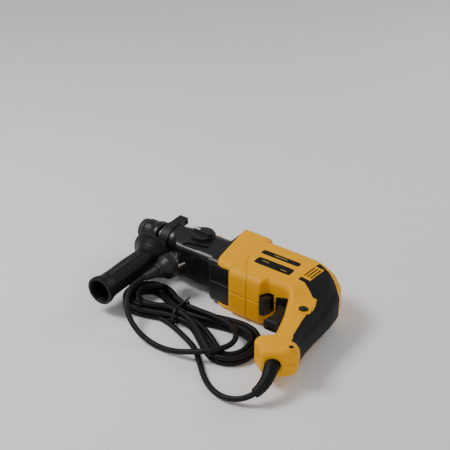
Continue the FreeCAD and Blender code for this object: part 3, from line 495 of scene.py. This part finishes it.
casing_rows = stations(CASING, 1.3, 3)
cap_middle, cap_axis, cord_hole = np.array([346.5, -161.8]), np.array([0.476, -0.88]), 10.4
HOLE_DEPTH, CAP_BULGE = 4, 1.2
for side, half_name in SIDES:
    grid_points = sections(casing_rows, side)
    # the end closes on the round hole of the cord boot
    last = grid_points[-1]
    angle = np.linspace(0, math.pi, last.shape[0])
    across = np.array([-cap_axis[1], cap_axis[0]])
    circle = np.stack([cap_middle[0] + across[0] * cord_hole * np.cos(angle),
                       cap_middle[1] + across[1] * cord_hole * np.cos(angle),
                       side * np.maximum(PARTING, cord_hole * np.sin(angle))], -1)
    inwards = np.array([*(-cap_axis), 0])
    cap = [last + (circle - last) * k - inwards * CAP_BULGE * math.sin(k * math.pi / 2)
           for k in (0.25, 0.6, 1)]
    cap.append(circle + inwards * HOLE_DEPTH)
    grid_points = np.concatenate([grid_points, np.array(cap)])
    casing = shell_piece("casing_" + half_name, grid_points, WALL, yellow, side, casing_open)
    show(casing, "housing", "housing_" + half_name, slot="yellow_shell")
    collar = shell_piece("collar_" + half_name, sections(stations(COLLAR, 0.5, 2), side, crown=0.05),
                         2.0, yellow, side, collar_open)
    show(collar, "housing", "housing_" + half_name, slot="yellow_shell")

# ---- front of the box ------------------------------------------------------------------------------
# A yellow panel moulded over the front of the box, 0.3 mm proud, with a low bead along its rear edge.
# The edge runs down from the collar, bends to the rear on the flank and goes straight across the bottom.
PANEL_FRONT, PANEL_REAR, PANEL_TOP = 206.0, (212.6, 235.0), -20.0
PANEL_SINK, PANEL_WALL, BEAD_WIDTH, BEAD_SHARE = 1.3, 1.6, 2.2, 0.5


def box_front(side):
    """Inner face of the panel: the box's section from the flank to the middle plane, sunk inwards and
    carried along x to the rear edge, where it comes up in a quarter round. The wall grows outwards."""
    line = sections(casing_rows, side)[np.argmin(np.abs(casing_rows[:, 0] - 232))][FLANK.start:]
    line = line[line[:, 1] < PANEL_TOP]
    along = np.gradient(line[:, 1:], axis=0)
    inwards = np.stack([along[:, 1], -along[:, 0]], -1) * -side
    inwards /= np.maximum(np.linalg.norm(inwards, axis=1)[:, None], 1e-9)
    bend = np.clip((PANEL_TOP - 4 - line[:, 1]) / 36, 0, 1) ** 1.2
    rear = PANEL_REAR[0] + (PANEL_REAR[1] - PANEL_REAR[0]) * bend
    share = np.r_[np.linspace(0, 0.85, 10), 1 - 0.15 * np.cos(np.linspace(0, math.pi / 2, 9))[1:]]
    x = PANEL_FRONT + (rear[:, None] - PANEL_FRONT) * share
    rim = np.clip((rear[:, None] - x) / BEAD_WIDTH, 0, 1)
    fade = np.clip((PANEL_TOP - line[:, 1]) / 4, 0, 1)[:, None] ** 0.6
    sink = (PANEL_SINK * fade + BEAD_SHARE) * np.sqrt(1 - (1 - rim) ** 2) - BEAD_SHARE
    points = np.concatenate([x[..., None], line[:, None, 1:] + inwards[:, None] * sink[..., None]], -1)
    points[..., 2] = side * np.maximum(PARTING, side * points[..., 2])
    return points


for side, half_name in SIDES:
    front = shell_piece("box_front_" + half_name, box_front(side), PANEL_WALL, yellow, side)
    show(front, "housing", slot="yellow_shell")

# ---- rubber on the tail and the grip --------------------------------------------------------------
# Dark soft rubber moulded onto the yellow shell: the tail, the back of the grip, a tongue below the
# vents and the finger rest at the trigger. It stands 0.6 to 0.8 mm proud with a rounded border.
rubber = finish("soft_rubber", (0.007, 0.007, 0.0072), 0.62, grain=3200, bump=0.35, tint=0.14, specular=0.2,
                wear=(0.022, 0.022, 0.022))
RUBBER_EDGE = np.array([(285, -26.5), (308, -27), (322, -34.5), (329, -39.5), (335.5, -39), (340, -50),
                        (342, -60), (338, -66), (340, -84), (347, -117), (358, -129), (380, -131)], float)


PROUD, BORDER_SINK = 0.9, 0.3
# width of rubber-free spine on each side of the middle plane, by the share of the way to the base
SPINE_SHARE, SPINE_WIDTH = (0.0, 0.14, 0.25, 0.33, 0.38), (43.0, 41.0, 35.0, 22.0, 0.0)


def crossing(start, end, line):
    """Share of the way from start to end at which it first meets the line, 1 where it never does."""
    first = 1.0
    for a, b in zip(line[:-1], line[1:]):
        d, e = end - start, b - a
        det = d[0] * -e[1] + d[1] * e[0]
        if abs(det) < 1e-9:
            continue
        t = ((a - start)[0] * -e[1] + (a - start)[1] * e[0]) / det
        u = (d[0] * (a - start)[1] - d[1] * (a - start)[0]) / det
        if 0 <= u <= 1 and 0.02 < t < first:
            first = t
    return first


def rubber_grid(side):
    """The casing's sections from the yellow spine to where they cross RUBBER_EDGE, at 40 even places,
    lifted along the surface's normals by a plateau with quarter-round borders."""
    chosen = np.where((casing_rows[:, 0] > 300.5) & (casing_rows[:, 1] > -129.6))[0]
    grid_points = sections(casing_rows, side)
    normals = np.cross(np.gradient(grid_points, axis=0), np.gradient(grid_points, axis=1)) * side
    normals /= -np.maximum(np.linalg.norm(normals, axis=-1, keepdims=True), 1e-9)
    tau = np.linspace(0, 1, 40)
    out = []
    for n, k in enumerate(chosen):
        line = grid_points[k]
        along = np.r_[0, np.cumsum(np.linalg.norm(np.diff(line, axis=0), axis=1))]
        top, low = casing_rows[k, 0:2], casing_rows[k, 2:4]
        q = crossing(top, low, RUBBER_EDGE)
        reach = np.abs((line[:, :2] - top) @ (low - top)) / ((low - top) @ (low - top))
        stop = np.interp(q, reach[FLANK], along[FLANK])
        way = n / (len(chosen) - 1)
        start = np.interp(way, SPINE_SHARE, SPINE_WIDTH)
        at = start + (stop - start) * tau
        point = np.stack([np.interp(at, along, line[:, c]) for c in range(3)], -1)
        normal = np.stack([np.interp(at, along, normals[k][:, c]) for c in range(3)], -1)
        end_fade = min(1.0, n, len(chosen) - 1 - n)
        rim = np.minimum(1, np.minimum(at - start + (99 if start < 0.01 else 0), stop - at) / 0.9)
        round_over = np.sqrt(np.clip(1 - (1 - np.clip(rim, 0, 1)) ** 2, 0, 1))
        lift = round_over * end_fade * PROUD - BORDER_SINK
        out.append(point + normal * lift[:, None])
    out = np.array(out)
    out[..., 2] = side * np.maximum(PARTING, side * out[..., 2])
    return out


for side, half_name in SIDES:
    skin = shell_piece("rubber_" + half_name, rubber_grid(side), 1.5, rubber, side)
    show(skin, "housing", "overmould_" + half_name, slot="soft_rubber")



def finger_rest(side):
    """Strip on the lower edge of the casing's sections, from the lever to below the trigger: beside
    the trigger's opening, and right across in front of it. Its height grows towards the rear."""
    low_x, low_y = casing_rows[:, 2], casing_rows[:, 3]
    chosen = casing_rows[(low_x > 275) & (low_y > -96) & (low_x < 318)]
    top, low = chosen[:, 0:2], chosen[:, 2:4]
    out = (low - top) / np.linalg.norm(low - top, axis=1)[:, None]
    inner = np.interp(-low[:, 1], (52.6, 53.8), (PARTING, 9.8))
    outer = np.interp(low[:, 0], (275, 300, 306, 318), (12.0, 19.0, 18.0, 12.5))
    share = np.linspace(0, 1, 14)
    z = inner[:, None] + (outer - inner)[:, None] * share
    row = np.arange(len(chosen))
    ends = np.clip(np.minimum(row, row[::-1]) / 1.5, 0, 1)[:, None]
    rim = np.clip((outer[:, None] - z) / 1.2, 0, 1) * ends
    lift = 1.1 * np.sqrt(1 - (1 - rim) ** 2) - BORDER_SINK
    plan = low[:, None] + out[:, None] * lift[..., None]
    return np.concatenate([plan, side * z[..., None]], -1)


for side, half_name in SIDES:
    rest = shell_piece("finger_rest_" + half_name, finger_rest(side)[:, ::-1], 1.4, rubber, side)
    show(rest, "housing", slot="soft_rubber")

# ---- trim on the casing ---------------------------------------------------------------------------
# Plain dark label strips, the vented tab with three slots and a sunk screw on the grip base. They
# are moulded on or glued to the casing.
label_finish = finish("label_film", (0.006, 0.006, 0.0055), 0.38, grain=500, bump=0.03, tint=0.2,
                      specular=0.25)
label_line = finish("label_line", (0.55, 0.33, 0.02), 0.4, grain=500, bump=0.03, tint=0.1)

RING = np.linspace(0, 2 * math.pi, 73)[:-1]
casing_tree = {}
for side in (1, -1):
    points = mm(sections(casing_rows, side))
    quads = grid_quads(*points.shape[:2])
    casing_tree[side] = BVHTree.FromPolygons(points.reshape(-1, 3).tolist(), quads.tolist())


def drape(x, y, side):
    """Height of the casing's surface above each (x, y), in the tool's millimetres."""
    flat = []
    for px, py in zip(np.ravel(x), np.ravel(y)):
        place = mm([px, py, side * 60])
        hit = casing_tree[side].ray_cast(Vector(place), Vector((0, 0, -side)))[0]
        flat.append((hit.z - SHIFT[2]) * 1000 if hit else side * 20)
    return np.array(flat).reshape(np.shape(x))


def pad(name, middle, length, width, angle, lift, side, material, power=6, edge=0.6, depth=1.2):
    """Low plate with the outline of a superellipse, following the casing; its rim is rounded."""
    eased = edge / width
    rho = np.r_[np.linspace(0.02, 1 - 2 * eased, 9), 1 - eased, 1 - 0.3 * eased, 1, 1, 0.02]
    rise = np.r_[np.full(9, lift), lift * 0.93, lift * 0.7, lift * 0.3, -depth, -depth]
    cos, sin = np.cos(RING), np.sin(RING)
    u = rho[:, None] * np.sign(cos) * np.abs(cos) ** (2 / power) * length / 2
    v = rho[:, None] * np.sign(sin) * np.abs(sin) ** (2 / power) * width / 2
    c, s = math.cos(math.radians(angle)), math.sin(math.radians(angle))
    x, y = middle[0] + u * c - v * s, middle[1] + u * s + v * c
    z = drape(x, y, side) + side * rise[:, None]
    z[0], z[-1] = z[0].mean(), z[-1].mean()
    x[0], y[0], x[-1], y[-1] = middle[0], middle[1], middle[0], middle[1]
    return grid(name, np.stack([x, y, z], -1), material, wrap_v=True)


for name, middle, length, width, side in (("label_upper", (250.5, 3), 63, 10, 1),
                                          ("label_lower", (253, -19), 60, 16, 1),
                                          ("rating_plate", (252, -10), 52, 26, -1)):
    strip = pad(name, middle, length, width, 0, 0.5, side, label_finish, power=9)
    show(strip, "housing", slot="yellow_shell")
for name, middle, length, width in (("label_mark", (250, 3), 26, 1.4),
                                    ("label_mark_low", (238, -17.5), 14, 1.2),
                                    ("label_mark_rear", (270, -21.5), 12, 1.2)):
    show(pad(name, middle, length, width, 0, 0.62, 1, label_line, power=8, edge=0.3), "housing")

TAB_AT, TAB_HALF_WIDTH, TAB_HALF_LENGTH, TAB_PROUD = (306, -3), 8.4, 17, 1.4
SLOT_PITCH, SLOT_HALF_WIDTH, SLOT_HALF_LENGTH, SLOT_SINK = 4.9, 1.1, 12.5, 4.2


def vent_tab(side):
    """Slanted plate 17 by 34 mm over the casing, its height a square root of the way in from the
    rim, with three slots whose walls fall straight within 0.35 mm. It turns under at its long rims
    and is closed below and at both ends."""
    u, v = np.meshgrid(np.linspace(-1, 1, 90), np.linspace(-1, 1, 60), indexing="ij")
    across, length = u * TAB_HALF_WIDTH, v * TAB_HALF_LENGTH
    x = TAB_AT[0] + across + v * 1.2
    y = TAB_AT[1] + length
    rim = np.minimum((1 - np.abs(u)) * TAB_HALF_WIDTH, (1 - np.abs(v)) * TAB_HALF_LENGTH)
    lift = TAB_PROUD * np.clip(rim / 1.2, 0, 1) ** 0.5
    for k in (-1, 0, 1):
        away = np.maximum(np.abs(across - k * SLOT_PITCH - 0.4) - SLOT_HALF_WIDTH,
                          np.abs(length - 0.5) - SLOT_HALF_LENGTH)
        lift = lift - SLOT_SINK * np.clip(0.5 - away / 0.35, 0, 1)
    base = drape(x, y, side)
    top = np.stack([x, y, base + side * lift], -1)
    bottom = np.stack([x, y, base - side * 4.5], -1)
    return np.concatenate([top, bottom[::-1]], 0)


for side, half_name in SIDES:
    tab = grid("vent_tab_" + half_name, vent_tab(side), yellow, wrap_u=True, fill=True)
    show(tab, "housing", slot="yellow_shell")

steel = finish("screw_steel", (0.06, 0.06, 0.062), 0.38, metallic=1.0, grain=800, bump=0.08)
screw_at = (361.0, -141.5, float(drape(361.0, -141.5, 1)))
seat = rounded([(-3, 0), (-3, 5.4), (0.6, 5.2), (0.9, 4.2), (0.2, 3.6), (-1.6, 3.5), (-1.6, 0)], 0.4)
show(revolve("screw_seat", seat, screw_at, (0, 0, 1), yellow, 48), "housing")
screw = rounded([(-3.2, 0), (-3.2, 3.2), (0.1, 3.2), (0.2, 1.6), (-0.9, 1.4), (-0.9, 0)], 0.3)
show(revolve("base_screw", screw, screw_at, (0, 0, 1), steel, 24), "housing")

# ---- lock-on button and trigger -------------------------------------------------------------------
# Black moulded controls: the six-sided button stands in its pad; the trigger reaches into the grip.
control = finish("control_plastic", (0.008, 0.008, 0.0085), 0.40, grain=1500, bump=0.15, tint=0.2,
                 wear=(0.03, 0.03, 0.03), specular=0.4)
BUTTON_AT, BUTTON_TOP, BUTTON_TURN = (330.8, -64.3), 26.6, math.radians(20)


def button_place(u, v):
    """Points of the button's own plane, turned with the grip."""
    c, s = math.cos(BUTTON_TURN), math.sin(BUTTON_TURN)
    return BUTTON_AT[0] + u * c - v * s, BUTTON_AT[1] + u * s + v * c


def six_sided(half_length, half_width):
    """Outline of a six-sided figure with slightly eased corners: one over the largest of three
    cosines a sixth of a turn apart."""
    six = 1 / np.maximum.reduce([np.abs(np.cos(RING - k * math.pi / 3)) for k in range(3)]) ** 0.9
    return half_length * six * np.cos(RING), half_width * six * np.sin(RING)


# the pad is a closed ring: up its rim, over the top, down the wall of the button's well and back
in_u, in_v = six_sided(6.5, 4.5)
cos, sin = np.cos(RING), np.sin(RING)
out_u = np.sign(cos) * np.abs(cos) ** (2 / 4.5) * 11.0
out_v = np.sign(sin) * np.abs(sin) ** (2 / 4.5) * 8.5 + 0.8
share = np.array([1.0, 1.0, 0.93, 0.8, 0.3, 0.08, 0.0, 0.0, 0.5])[:, None]
rise = np.array([-1.2, 0.3, 1.2, 1.6, 1.6, 1.5, 1.1, -6.0, -6.0])[:, None]
x, y = button_place(in_u + (out_u - in_u) * share, in_v + (out_v - in_v) * share)
ring = np.stack([x, y, drape(x, y, 1) + rise], -1)
show(grid("button_pad", ring, yellow, wrap_u=True, wrap_v=True), "housing")

cap_u, cap_v = six_sided(6.0, 4.0)
rho = np.array([0.02, 0.5, 0.82, 0.93, 1, 1, 0.02])[:, None]
x, y = button_place(cap_u * rho, cap_v * rho)
height = BUTTON_TOP - np.array([0, 0, 0.1, 0.6, 1.4, 12.6, 12.6])[:, None]
cap = np.stack([x, y, height + 0 * x], -1)
show(grid("lock_button_cap", cap, control, wrap_v=True), "lock_button", "lock_on_button",
     slot="control_plastic")

FRONT = np.array([(284, -56.6), (286.8, -62), (289.4, -69), (290.6, -77), (290, -85), (287.6, -92),
                  (286.4, -96.4)])
REAR = np.array([(303.5, -57.8), (305.3, -64), (307.3, -70.5), (309.3, -77), (311.3, -84), (313.4, -91),
                 (314.4, -95)])


def trigger_grid():
    """Closed tube along the trigger's length: at each level the section runs from the finger face
    round both sides to the rear, with rounded front edges and fine cross grooves on the face."""
    levels = np.linspace(0, len(FRONT) - 1, 61)
    front = np.stack([np.interp(levels, range(len(FRONT)), FRONT[:, c]) for c in (0, 1)], -1)
    rear = np.stack([np.interp(levels, range(len(REAR)), REAR[:, c]) for c in (0, 1)], -1)
    groove = 0.45 * (np.sin(levels * math.pi * 3) > 0.2) * ((levels > 1) & (levels < 5.2))
    phi = np.linspace(0, 2 * math.pi, 49)[:-1]
    across = np.sign(np.sin(phi)) * np.abs(np.sin(phi)) ** 0.45 * 8.7
    depth = 0.5 - 0.5 * np.sign(np.cos(phi)) * np.abs(np.cos(phi)) ** 0.35
    ends = np.clip(np.minimum(levels, levels[::-1]) / 0.22, 0, 1) ** 0.5
    plan = front[:, None] + (rear - front)[:, None] * depth[None, :, None]
    face = np.clip(1 - depth * 8, 0, 1)[None, :] * groove[:, None] * (np.abs(across) < 6.8)
    plan[..., 0] += face
    middle = (front + rear)[:, None] / 2
    plan = middle + (plan - middle) * (0.86 + 0.14 * ends[:, None, None])
    z = across[None, :] * (0.86 + 0.14 * ends[:, None])
    body = np.concatenate([plan, z[..., None]], -1)
    poles = [np.broadcast_to(body[k].mean(0), body[k].shape) for k in (0, -1)]
    return np.concatenate([poles[0][None], body, poles[1][None]])


show(grid("trigger_cap", trigger_grid(), control, wrap_v=True), "trigger", "trigger",
     slot="control_plastic")

# ---- skirt below the collar -----------------------------------------------------------------------
# Black foot of the gear housing that closes the collar from below, in front of the yellow box.
skirt_finish = finish("skirt", (0.008, 0.008, 0.0085), 0.36, grain=1300, bump=0.14, tint=0.2, specular=0.4)
SKIRT = [(166.5, -8, 166.5, -53.6, 35.5, 3, 9), (167, -8, 167, -54.6, 36.4, 3, 9),
         (168, -8, 168, -55, 36.9, 3, 9), (204.3, -8, 204.3, -55, 36.9, 3, 9)]
for side, half_name in SIDES:
    skirt = shell_piece("skirt_" + half_name, sections(stations(SKIRT, 0.6, 1), side), 1.4,
                        skirt_finish, side, lambda middle: middle[:, 1] < -10)
    show(skirt, "housing", slot="gear_case")

# ---- chuck ----------------------------------------------------------------------------------------
# Rubber dust cap on the spindle's nose and the plastic lock sleeve behind it.
cap_rubber = finish("cap_rubber", (0.022, 0.022, 0.023), 0.55, grain=2200, bump=0.25, tint=0.15)
sleeve_plastic = finish("sleeve_plastic", (0.009, 0.009, 0.0095), 0.34, grain=1800, bump=0.12, tint=0.2,
                        wear=(0.04, 0.04, 0.04), specular=0.4)
cap_profile = rounded([(10.6, 10.8), (3.4, 10.8), (2.9, 5.8), (0.2, 5.6), (0, 8), (0.2, 13.2), (2.2, 15.8),
                       (5, 16.8), (6, 16.2), (7, 17), (10.6, 17.4), (10.8, 14), (10.6, 10.8)], 0.8)
show(revolve("dust_cap_skin", cap_profile, (0, 0, 0), (1, 0, 0), cap_rubber, 96), "spindle", "dust_cap",
     slot="cap_rubber")
sleeve = np.array(rounded([(13.6, 15.7), (11.5, 15.9), (11.4, 17.4), (13, 18.7), (20, 18.9), (26, 19.1),
                           (30, 20.4), (33, 21.3), (38, 21.3), (40, 20), (40, 17.3), (27.2, 17.2), (27, 13.3),
                           (19.2, 13.2), (19, 15.6), (13.6, 15.7)], 1.2))
# eighteen shallow flutes round the sleeve's middle
phi = np.linspace(0, 2 * math.pi, 145)[:-1]
flutes = 0.35 * (0.5 + 0.5 * np.cos(phi * 18)) ** 3
bite = (np.clip(1 - np.abs(sleeve[:, 0] - 21) / 7, 0, 1) * (sleeve[:, 1] > 17.6))[:, None] * flutes
r = sleeve[:, 1:] - bite
skin = np.stack([sleeve[:, :1] + 0 * r, r * np.cos(phi), r * np.sin(phi)], -1)
show(grid("lock_sleeve_skin", skin, sleeve_plastic, wrap_v=True), "lock_sleeve", "lock_sleeve",
     slot="sleeve_plastic")

# ---- side handle ----------------------------------------------------------------------------------
# Hollow black grip that screws onto the clamp: guard disc, cone, rows of short grooves, flared end.
handle_plastic = finish("handle_plastic", (0.006, 0.006, 0.0065), 0.48, grain=1700, bump=0.22, tint=0.2,
                        wear=(0.025, 0.025, 0.025), specular=0.25)
grip_profile = np.array(rounded(
    [(-92.2, 4.3), (-46.2, 4.3), (-46, 20), (-46, 32.6), (-47.4, 34), (-49.4, 33.6), (-52, 28.5),
     (-58, 21.5), (-66, 18.2), (-74, 17.5), (-100, 18.3), (-130, 17.6), (-150, 18), (-158, 20), (-162, 21.4),
     (-168, 21.4), (-168, 17), (-160, 15.2), (-106, 14), (-92.4, 14), (-92.2, 4.3)], 1.6, 6))
dense = [grip_profile[0]]
for p, q in zip(grip_profile[:-1], grip_profile[1:]):
    count = max(1, int(np.linalg.norm(q - p) / 0.7))
    dense += [p + (q - p) * (k + 1) / count for k in range(count)]
dense = np.array(dense)
phi = np.linspace(0, 2 * math.pi, 169)[:-1]
HANDLE_X, ROW_PITCH, GROOVE_DEPTH = 56.5, 4.6, 1.1
row = (dense[:, 0] + 76) / ROW_PITCH
in_rows = (dense[:, 0] < -76) & (dense[:, 0] > -148) & (dense[:, 1] > 16.5)
bar = np.clip(1.35 * (0.5 + 0.5 * np.cos(2 * math.pi * row)) - 0.35, 0, 1)
teeth = np.clip(3 * (0.5 + 0.5 * np.cos(phi[None] * 8)) - 1.0, 0, 1)
r = dense[:, 1:] - GROOVE_DEPTH * (in_rows * bar)[:, None] * teeth
skin = np.stack([HANDLE_X + r * np.cos(phi), dense[:, :1] + 0 * r, r * np.sin(phi)], -1)
show(grid("side_grip_skin", skin, handle_plastic, wrap_v=True), "side_grip", "side_grip",
     slot="handle_plastic")

# ---- marks on the gear housing --------------------------------------------------------------------
# Moulded white pointer on the mode knob and a small yellow marker on the housing beside it.
white = finish("white_mark", (0.75, 0.75, 0.74), 0.5, grain=900, bump=0.05)
for name, body, at, size, height, colour in (
        ("knob_pointer", "mode_knob", (107.5, -3.0), (5.0, 1.4), 39.62, white),
        ("mode_marker", "housing", (134.0, 17.5), (2.6, 1.5), 24.5, yellow)):
    phi = np.linspace(0, 2 * math.pi, 49)[:-1]
    rho = np.array([0.02, 0.8, 0.95, 1, 1, 0.02])
    rise = np.array([0.28, 0.28, 0.2, 0.05, -0.6, -0.6])
    u = size[0] * np.sign(np.cos(phi)) * np.abs(np.cos(phi)) ** 0.4
    v = size[1] * np.sign(np.sin(phi)) * np.abs(np.sin(phi)) ** 0.4
    tip = np.stack([at[0] + rho[:, None] * u, at[1] + rho[:, None] * v,
                    height + rise[:, None] + 0 * rho[:, None] * u], -1)
    show(grid(name, tip, colour, wrap_v=True), body)

# ---- CAD parts: gear housing, clamp, lever, knob and the works inside ----------------------------
# They keep their own meshes. Each material slot of the record has one finish, and the parts that
# are seen get rounded edges.
finishes = {
    "gear_case": finish("gear_case", (0.008, 0.008, 0.0085), 0.32, grain=1300, bump=0.14, tint=0.2,
                        wear=(0.04, 0.04, 0.04), coat=0.05, specular=0.4),
    "steel_screws": steel,
    "ground_steel": finish("ground_steel", (0.10, 0.10, 0.105), 0.34, metallic=1.0, grain=900, bump=0.05,
                           stretch=(0.1, 1, 1)),
    "gear_steel": finish("gear_steel", (0.42, 0.41, 0.40), 0.32, metallic=1.0, grain=900, bump=0.08),
    "bearing_steel": finish("bearing_steel", (0.62, 0.62, 0.63), 0.18, metallic=1.0, grain=900, bump=0.04),
    "seal_rubber": finish("seal_rubber", (0.02, 0.02, 0.02), 0.6, grain=1500, bump=0.2),
    "spring_steel": finish("spring_steel", (0.5, 0.5, 0.5), 0.25, metallic=1.0),
    "piston_alloy": finish("piston_alloy", (0.7, 0.7, 0.72), 0.3, metallic=1.0, stretch=(0.1, 1, 1)),
    "core_steel": finish("core_steel", (0.28, 0.28, 0.29), 0.4, metallic=1.0, stretch=(8, 1, 1)),
    "copper": finish("copper", (0.72, 0.27, 0.12), 0.3, metallic=1.0, stretch=(0.2, 1, 1)),
    "inner_plastic": finish("inner_plastic", (0.05, 0.05, 0.055), 0.5, grain=1500, bump=0.15),
    "brass_parts": finish("brass_parts", (0.75, 0.52, 0.2), 0.3, metallic=1.0),
    "carbon": finish("carbon", (0.025, 0.025, 0.027), 0.55, grain=2500, bump=0.3),
    "capacitor_case": finish("capacitor_case", (0.45, 0.40, 0.10), 0.45, grain=900, bump=0.1),
    "control_plastic": control, "handle_plastic": handle_plastic, "cord_rubber": cord_rubber,
    "cap_rubber": cap_rubber, "sleeve_plastic": sleeve_plastic, "plug_plastic": plug_plastic,
    "nickel_pins": nickel, "tie_wire": tie_wire, "soft_rubber": rubber, "yellow_shell": yellow,
}
slots = {part["node"]: part["material_slot"] for part in frame["record"]["subparts"]}
SEEN = ("gear_housing", "clamp_band", "direction_lever", "mode_knob", "clamp_bolt")
for node, thing in frame["nodes"].items():
    if thing.hide_render:
        continue
    thing.data.materials.clear()
    thing.data.materials.append(finishes[slots[node]])
    if node in SEEN:
        edge = thing.modifiers.new("edge", "BEVEL")
        edge.width, edge.segments, edge.limit_method = 0.0008, 3, "ANGLE"
        edge.angle_limit = math.radians(35)
        edge.harden_normals = True
